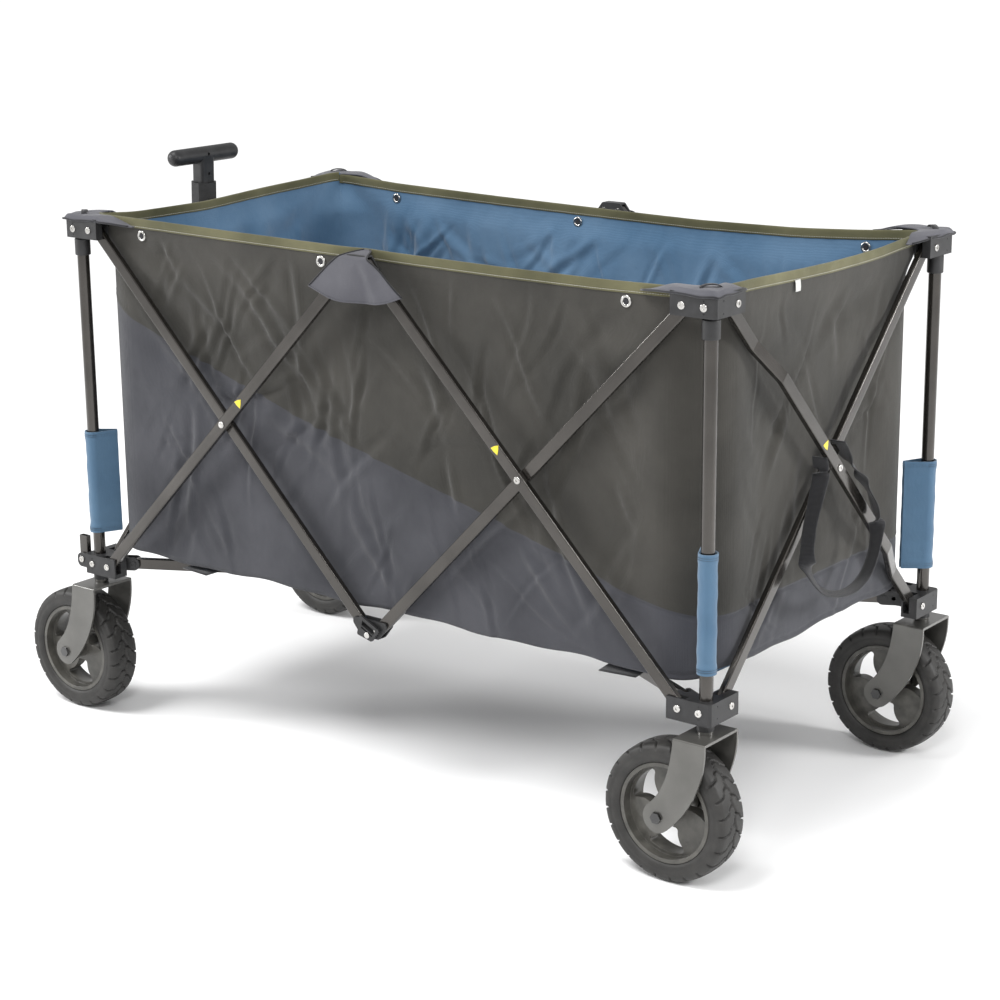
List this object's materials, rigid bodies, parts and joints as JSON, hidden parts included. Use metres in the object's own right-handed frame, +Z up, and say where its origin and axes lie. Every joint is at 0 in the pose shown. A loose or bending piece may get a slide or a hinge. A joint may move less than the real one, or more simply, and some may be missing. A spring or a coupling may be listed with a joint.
{
  "type": "folding beach cart",
  "caption": "Folding beach cart with a scissor frame, swivelling wide wheels, a telescoping pull handle and an open fabric bag.",
  "frame": {"origin": "on the ground, at the centre of the rectangle of the wheels' contact points", "axes": "+X along the cart, from the handle end to the rear end; +Y from the near long side to the far one; +Z up"},
  "size_m": [1.371, 0.698, 0.8942],
  "materials": {
    "frame_paint": "satin brown-grey paint on steel tube",
    "inner_tube": "satin",
    "bracket_plastic": "matte, fine grain",
    "rim": "satin",
    "tyre": "matte, treaded",
    "handle_metal": "satin black",
    "grip_plastic": "soft matte",
    "wall_cloth": "woven polyester, blue inside",
    "floor_cloth": "woven polyester over a stiff sheet",
    "webbing": "ribbed webbing"
  },
  "bodies": {
    "corner_rear_near": {"lower_bracket_rear_near": "bracket_plastic", "post_rear_near": "frame_paint"},
    "upper_rear_near": {"upper_bracket_rear_near": "bracket_plastic", "slider_rear_near": "inner_tube", "bag_rear_wall": "wall_cloth", "bag_floor": "floor_cloth", "floor_straps": "webbing"},
    "floor_arm_rear_near": {"floor_arm_rear_near": "frame_paint"},
    "fork_rear_near": {"fork_rear_near": "frame_paint"},
    "wheel_rear_near": {"rim_rear_near": "rim", "tyre_rear_near": "tyre"},
    "corner_rear_far": {"lower_bracket_rear_far": "bracket_plastic", "post_rear_far": "frame_paint"},
    "upper_rear_far": {"upper_bracket_rear_far": "bracket_plastic", "slider_rear_far": "inner_tube"},
    "floor_arm_rear_far": {"floor_arm_rear_far": "frame_paint"},
    "fork_rear_far": {"fork_rear_far": "frame_paint"},
    "wheel_rear_far": {"rim_rear_far": "rim", "tyre_rear_far": "tyre"},
    "corner_front_far": {"lower_bracket_front_far": "bracket_plastic", "post_front_far": "frame_paint"},
    "upper_front_far": {"upper_bracket_front_far": "bracket_plastic", "slider_front_far": "inner_tube"},
    "floor_arm_front_far": {"floor_arm_front_far": "frame_paint"},
    "fork_front_far": {"fork_front_far": "frame_paint"},
    "wheel_front_far": {"rim_front_far": "rim", "tyre_front_far": "tyre"},
    "corner_front_near": {"lower_bracket_front_near": "bracket_plastic", "post_front_near": "frame_paint"},
    "upper_front_near": {"upper_bracket_front_near": "bracket_plastic", "slider_front_near": "inner_tube", "bag_front_wall": "wall_cloth"},
    "floor_arm_front_near": {"floor_arm_front_near": "frame_paint"},
    "fork_front_near": {"fork_front_near": "frame_paint"},
    "wheel_front_near": {"rim_front_near": "rim", "tyre_front_near": "tyre"},
    "arm_near_rear_outer": {"arm_near_rear_outer": "frame_paint"},
    "arm_near_rear_inner": {"arm_near_rear_inner": "frame_paint"},
    "arm_near_front_outer": {"arm_near_front_outer": "frame_paint"},
    "arm_near_front_inner": {"arm_near_front_inner": "frame_paint"},
    "top_hinge_near": {"top_hinge_near": "bracket_plastic", "bag_near_wall": "wall_cloth"},
    "bottom_hinge_near": {"bottom_hinge_near": "bracket_plastic"},
    "arm_far_rear_outer": {"arm_far_rear_outer": "frame_paint"},
    "arm_far_rear_inner": {"arm_far_rear_inner": "frame_paint"},
    "arm_far_front_outer": {"arm_far_front_outer": "frame_paint"},
    "arm_far_front_inner": {"arm_far_front_inner": "frame_paint"},
    "top_hinge_far": {"top_hinge_far": "bracket_plastic", "bag_far_wall": "wall_cloth"},
    "bottom_hinge_far": {"bottom_hinge_far": "bracket_plastic"},
    "arm_rear_straight": {"arm_rear_straight": "frame_paint"},
    "arm_rear_bent": {"arm_rear_bent": "frame_paint", "strap_loop": "webbing"},
    "arm_front_straight": {"arm_front_straight": "frame_paint"},
    "arm_front_bent": {"arm_front_bent": "frame_paint"},
    "floor_hub": {"floor_hub": "bracket_plastic"},
    "handle_yoke": {"handle_yoke": "handle_metal"},
    "handle": {"handle_outer_tube": "handle_metal"},
    "handle_extension": {"handle_slider": "handle_metal", "handle_grip": "grip_plastic"}
  },
  "joints": [
    {"name": "fold", "type": "hinge", "parent": "corner_rear_near", "child": "arm_rear_straight", "pos_m": [0.6355, -0.269, 0.253], "axis": [1, 0, 0], "range_deg": [0, 30.52], "deforming": ["bag_near_wall", "bag_far_wall", "bag_front_wall", "bag_rear_wall", "bag_floor", "floor_straps", "strap_loop"]},
    {"name": "rear_cross", "type": "hinge", "parent": "arm_rear_straight", "child": "arm_rear_bent", "pos_m": [0.6355, 0, 0.5265], "axis": [1, 0, 0], "range_deg": [-61.06, 0]},
    {"name": "upper_rear_far_pivot", "type": "hinge", "parent": "arm_rear_straight", "child": "upper_rear_far", "pos_m": [0.6355, 0.269, 0.8], "axis": [1, 0, 0], "range_deg": [-30.54, 0]},
    {"name": "corner_rear_far_pivot", "type": "hinge", "parent": "arm_rear_bent", "child": "corner_rear_far", "pos_m": [0.6355, 0.269, 0.253], "axis": [1, 0, 0], "range_deg": [0, 30.54]},
    {"name": "near_rear_pivot", "type": "hinge", "parent": "corner_rear_near", "child": "arm_near_rear_outer", "pos_m": [0.6015, -0.303, 0.253], "axis": [0, 1, 0], "range_deg": [0, 30.54]},
    {"name": "near_top_hinge", "type": "hinge", "parent": "arm_near_rear_outer", "child": "top_hinge_near", "pos_m": [0.0635, -0.303, 0.8], "axis": [0, 1, 0], "range_deg": [-30.54, 0]},
    {"name": "near_rear_cross", "type": "hinge", "parent": "arm_near_rear_outer", "child": "arm_near_rear_inner", "pos_m": [0.3325, -0.303, 0.5265], "axis": [0, 1, 0], "range_deg": [-61.06, 0]},
    {"name": "near_bottom_hinge", "type": "hinge", "parent": "arm_near_rear_inner", "child": "bottom_hinge_near", "pos_m": [0.0635, -0.303, 0.253], "axis": [0, 1, 0], "range_deg": [0, 30.54]},
    {"name": "near_front_top_pivot", "type": "hinge", "parent": "top_hinge_near", "child": "arm_near_front_outer", "pos_m": [0.0365, -0.303, 0.8], "axis": [0, 1, 0], "range_deg": [-30.54, 0]},
    {"name": "near_front_cross", "type": "hinge", "parent": "arm_near_front_outer", "child": "arm_near_front_inner", "pos_m": [-0.2325, -0.303, 0.5265], "axis": [0, 1, 0], "range_deg": [0, 61.06]},
    {"name": "corner_front_near_pivot", "type": "hinge", "parent": "arm_near_front_outer", "child": "corner_front_near", "pos_m": [-0.5015, -0.303, 0.253], "axis": [0, 1, 0], "range_deg": [0, 30.54]},
    {"name": "upper_front_near_pivot", "type": "hinge", "parent": "arm_near_front_inner", "child": "upper_front_near", "pos_m": [-0.5015, -0.303, 0.8], "axis": [0, 1, 0], "range_deg": [-30.54, 0]},
    {"name": "upper_rear_near_pivot", "type": "hinge", "parent": "arm_near_rear_inner", "child": "upper_rear_near", "pos_m": [0.6015, -0.303, 0.8], "axis": [0, 1, 0], "range_deg": [0, 30.54]},
    {"name": "far_rear_pivot", "type": "hinge", "parent": "corner_rear_far", "child": "arm_far_rear_outer", "pos_m": [0.6015, 0.303, 0.253], "axis": [0, 1, 0], "range_deg": [0, 30.54]},
    {"name": "far_top_hinge", "type": "hinge", "parent": "arm_far_rear_outer", "child": "top_hinge_far", "pos_m": [0.0635, 0.303, 0.8], "axis": [0, 1, 0], "range_deg": [-30.54, 0]},
    {"name": "far_rear_cross", "type": "hinge", "parent": "arm_far_rear_outer", "child": "arm_far_rear_inner", "pos_m": [0.3325, 0.303, 0.5265], "axis": [0, 1, 0], "range_deg": [-61.06, 0]},
    {"name": "far_bottom_hinge", "type": "hinge", "parent": "arm_far_rear_inner", "child": "bottom_hinge_far", "pos_m": [0.0635, 0.303, 0.253], "axis": [0, 1, 0], "range_deg": [0, 30.54]},
    {"name": "far_front_top_pivot", "type": "hinge", "parent": "top_hinge_far", "child": "arm_far_front_outer", "pos_m": [0.0365, 0.303, 0.8], "axis": [0, 1, 0], "range_deg": [-30.54, 0]},
    {"name": "far_front_cross", "type": "hinge", "parent": "arm_far_front_outer", "child": "arm_far_front_inner", "pos_m": [-0.2325, 0.303, 0.5265], "axis": [0, 1, 0], "range_deg": [0, 61.06]},
    {"name": "corner_front_far_pivot", "type": "hinge", "parent": "arm_far_front_outer", "child": "corner_front_far", "pos_m": [-0.5015, 0.303, 0.253], "axis": [0, 1, 0], "range_deg": [0, 30.54]},
    {"name": "upper_front_far_pivot", "type": "hinge", "parent": "arm_far_front_inner", "child": "upper_front_far", "pos_m": [-0.5015, 0.303, 0.8], "axis": [0, 1, 0], "range_deg": [-30.54, 0]},
    {"name": "front_pivot", "type": "hinge", "parent": "corner_front_near", "child": "arm_front_straight", "pos_m": [-0.5355, -0.269, 0.253], "axis": [1, 0, 0], "range_deg": [0, 30.54]},
    {"name": "front_cross", "type": "hinge", "parent": "arm_front_straight", "child": "arm_front_bent", "pos_m": [-0.5355, 0, 0.5265], "axis": [1, 0, 0], "range_deg": [-61.06, 0]},
    {"name": "handle_yoke_pivot", "type": "hinge", "parent": "arm_front_straight", "child": "handle_yoke", "pos_m": [-0.5355, 0, 0.5265], "axis": [1, 0, 0], "range_deg": [-30.54, 0]},
    {"name": "floor_arm_rear_near_pivot", "type": "hinge", "parent": "corner_rear_near", "child": "floor_arm_rear_near", "pos_m": [0.58399, -0.27634, 0.253], "axis": [0.4596, 0.8881, 0], "range_deg": [0, 77.64]},
    {"name": "floor_hub_pivot", "type": "hinge", "parent": "floor_arm_rear_near", "child": "floor_hub", "pos_m": [0.13881, -0.04596, 0.253], "axis": [0.4596, 0.8881, 0], "range_deg": [-77.64, 0]},
    {"name": "floor_arm_rear_far_pivot", "type": "hinge", "parent": "corner_rear_far", "child": "floor_arm_rear_far", "pos_m": [0.58399, 0.27634, 0.253], "axis": [-0.4596, 0.8881, 0], "range_deg": [0, 77.64]},
    {"name": "floor_arm_front_far_pivot", "type": "hinge", "parent": "corner_front_far", "child": "floor_arm_front_far", "pos_m": [-0.48399, 0.27634, 0.253], "axis": [-0.4596, -0.8881, 0], "range_deg": [0, 77.64]},
    {"name": "floor_arm_front_near_pivot", "type": "hinge", "parent": "corner_front_near", "child": "floor_arm_front_near", "pos_m": [-0.48399, -0.27634, 0.253], "axis": [0.4596, -0.8881, 0], "range_deg": [0, 77.64]},
    {"name": "swivel_rear_near", "type": "hinge", "parent": "corner_rear_near", "child": "fork_rear_near", "pos_m": [0.6355, -0.303, 0.23], "axis": [0, 0, 1], "continuous": true},
    {"name": "spin_rear_near", "type": "hinge", "parent": "fork_rear_near", "child": "wheel_rear_near", "pos_m": [0.5855, -0.303, 0.1], "axis": [0, 1, 0], "continuous": true},
    {"name": "swivel_rear_far", "type": "hinge", "parent": "corner_rear_far", "child": "fork_rear_far", "pos_m": [0.6355, 0.303, 0.23], "axis": [0, 0, 1], "continuous": true},
    {"name": "spin_rear_far", "type": "hinge", "parent": "fork_rear_far", "child": "wheel_rear_far", "pos_m": [0.5855, 0.303, 0.1], "axis": [0, 1, 0], "continuous": true},
    {"name": "swivel_front_far", "type": "hinge", "parent": "corner_front_far", "child": "fork_front_far", "pos_m": [-0.5355, 0.303, 0.23], "axis": [0, 0, 1], "continuous": true},
    {"name": "spin_front_far", "type": "hinge", "parent": "fork_front_far", "child": "wheel_front_far", "pos_m": [-0.5855, 0.303, 0.1], "axis": [0, 1, 0], "continuous": true},
    {"name": "swivel_front_near", "type": "hinge", "parent": "corner_front_near", "child": "fork_front_near", "pos_m": [-0.5355, -0.303, 0.23], "axis": [0, 0, 1], "continuous": true},
    {"name": "spin_front_near", "type": "hinge", "parent": "fork_front_near", "child": "wheel_front_near", "pos_m": [-0.5855, -0.303, 0.1], "axis": [0, 1, 0], "continuous": true},
    {"name": "handle_tilt", "type": "hinge", "parent": "handle_yoke", "child": "handle", "pos_m": [-0.5785, 0, 0.471], "axis": [0, -1, 0], "range_deg": [0, 100]},
    {"name": "handle_extend", "type": "slide", "parent": "handle", "child": "handle_extension", "axis": [0.0349, 0, 0.9994], "range_m": [0, 0.3]}
  ],
  "couplings": [
    {"joint": "rear_cross", "follows": "fold", "ratio": -2},
    {"joint": "upper_rear_far_pivot", "follows": "fold", "ratio": -1},
    {"joint": "corner_rear_far_pivot", "follows": "fold", "ratio": 1},
    {"joint": "near_rear_pivot", "follows": "fold", "ratio": 1},
    {"joint": "near_top_hinge", "follows": "fold", "ratio": -1},
    {"joint": "near_rear_cross", "follows": "fold", "ratio": -2},
    {"joint": "near_bottom_hinge", "follows": "fold", "ratio": 1},
    {"joint": "near_front_top_pivot", "follows": "fold", "ratio": -1},
    {"joint": "near_front_cross", "follows": "fold", "ratio": 2},
    {"joint": "corner_front_near_pivot", "follows": "fold", "ratio": 1},
    {"joint": "upper_front_near_pivot", "follows": "fold", "ratio": -1},
    {"joint": "upper_rear_near_pivot", "follows": "fold", "ratio": 1},
    {"joint": "far_rear_pivot", "follows": "fold", "ratio": 1},
    {"joint": "far_top_hinge", "follows": "fold", "ratio": -1},
    {"joint": "far_rear_cross", "follows": "fold", "ratio": -2},
    {"joint": "far_bottom_hinge", "follows": "fold", "ratio": 1},
    {"joint": "far_front_top_pivot", "follows": "fold", "ratio": -1},
    {"joint": "far_front_cross", "follows": "fold", "ratio": 2},
    {"joint": "corner_front_far_pivot", "follows": "fold", "ratio": 1},
    {"joint": "upper_front_far_pivot", "follows": "fold", "ratio": -1},
    {"joint": "front_pivot", "follows": "fold", "ratio": 1},
    {"joint": "front_cross", "follows": "fold", "ratio": -2},
    {"joint": "handle_yoke_pivot", "follows": "fold", "ratio": -1},
    {"joint": "floor_arm_rear_near_pivot", "follows": "fold", "ratio": 2.5434},
    {"joint": "floor_hub_pivot", "follows": "fold", "ratio": -2.5434},
    {"joint": "floor_arm_rear_far_pivot", "follows": "fold", "ratio": 2.5434},
    {"joint": "floor_arm_front_far_pivot", "follows": "fold", "ratio": 2.5434},
    {"joint": "floor_arm_front_near_pivot", "follows": "fold", "ratio": 2.5434}
  ]
}
